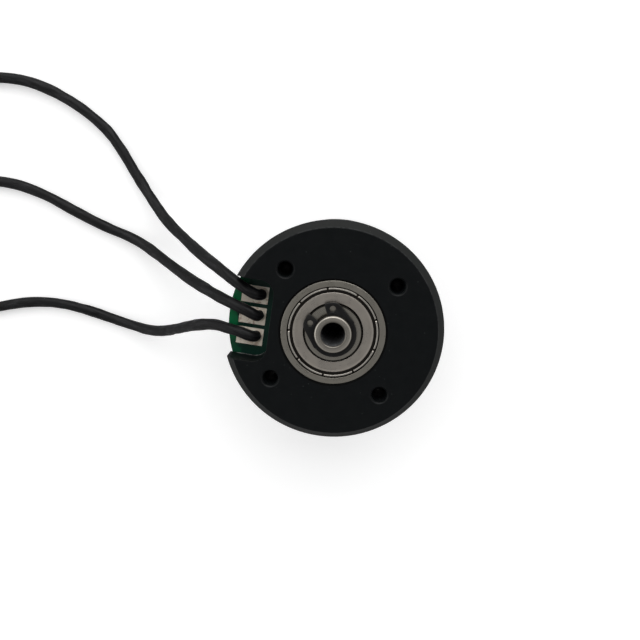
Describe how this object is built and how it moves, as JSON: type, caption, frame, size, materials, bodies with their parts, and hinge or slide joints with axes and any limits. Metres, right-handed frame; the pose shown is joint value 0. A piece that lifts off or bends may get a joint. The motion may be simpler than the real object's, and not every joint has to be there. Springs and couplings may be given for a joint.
{
  "type": "underwater thruster motor",
  "caption": "Brushless outrunner motor for an underwater thruster: round mounting plate with a lead notch and tapped holes, shielded bearing, bored shaft with circlip, spinning bell and leads.",
  "frame": {"origin": "centre of the mounting face, on the shaft axis", "axes": "+Z out of the mounting face along the shaft; -X towards the lead notch; the bell's front face is the lowest face"},
  "size_m": [0.1334, 0.069, 0.0337],
  "materials": {
    "black_anodised": "black hard anodised, satin",
    "ground_steel": "ground bearing steel",
    "shield_steel": "pressed sheet steel",
    "ball_steel": "polished",
    "cage_steel": "pressed sheet steel",
    "spring_steel": "rolled",
    "phosphated_steel": "phosphated",
    "shaft_steel": "turned",
    "lamination_steel": "stacked sheet, varnished",
    "flux_ring_steel": "black coated steel",
    "magnet_nickel": "nickel plated",
    "insulating_sheet": "fibre sheet",
    "enamelled_copper": "enamelled wire",
    "solder_mask": "green solder mask",
    "tin": "hot tinned",
    "lead_sleeve": "matt sleeving",
    "black_oxide": "black oxide"
  },
  "bodies": {
    "stator": {"base_plate": "black_anodised", "rear_bearing_outer_ring": "ground_steel", "rear_bearing_shields": "shield_steel", "front_bearing_outer_ring": "ground_steel", "front_bearing_shields": "shield_steel", "wave_washer": "spring_steel", "stator_core": "lamination_steel", "end_insulators": "insulating_sheet", "coils_phase_u": "enamelled_copper", "coils_phase_v": "enamelled_copper", "coils_phase_w": "enamelled_copper", "winding_tails": "enamelled_copper", "connection_board": "solder_mask", "solder_pads": "tin", "solder_joints": "tin", "lead_u": "lead_sleeve", "lead_v": "lead_sleeve", "lead_w": "lead_sleeve", "lead_strands": "tin"},
    "rotor": {"shaft": "shaft_steel", "circlip": "phosphated_steel", "rear_bearing_inner_ring": "ground_steel", "front_bearing_inner_ring": "ground_steel", "spacer_tube": "shaft_steel", "hub_washer": "shaft_steel", "flux_ring": "flux_ring_steel", "magnets": "magnet_nickel", "bell": "black_anodised", "grub_screws": "black_oxide"},
    "rear_ball_set": {"rear_bearing_balls": "ball_steel", "rear_bearing_cage": "cage_steel"},
    "front_ball_set": {"front_bearing_balls": "ball_steel", "front_bearing_cage": "cage_steel"}
  },
  "joints": [
    {"name": "rotor_spin", "type": "hinge", "parent": "stator", "child": "rotor", "pos_m": [0, 0, 0], "axis": [0, 0, 1], "continuous": true},
    {"name": "rear_balls_roll", "type": "hinge", "parent": "stator", "child": "rear_ball_set", "pos_m": [0, 0, -0.0038], "axis": [0, 0, 1], "continuous": true},
    {"name": "front_balls_roll", "type": "hinge", "parent": "stator", "child": "front_ball_set", "pos_m": [0, 0, -0.0239], "axis": [0, 0, 1], "continuous": true}
  ],
  "couplings": [
    {"joint": "rear_balls_roll", "follows": "rotor_spin", "ratio": 0.3677},
    {"joint": "front_balls_roll", "follows": "rotor_spin", "ratio": 0.4167}
  ]
}
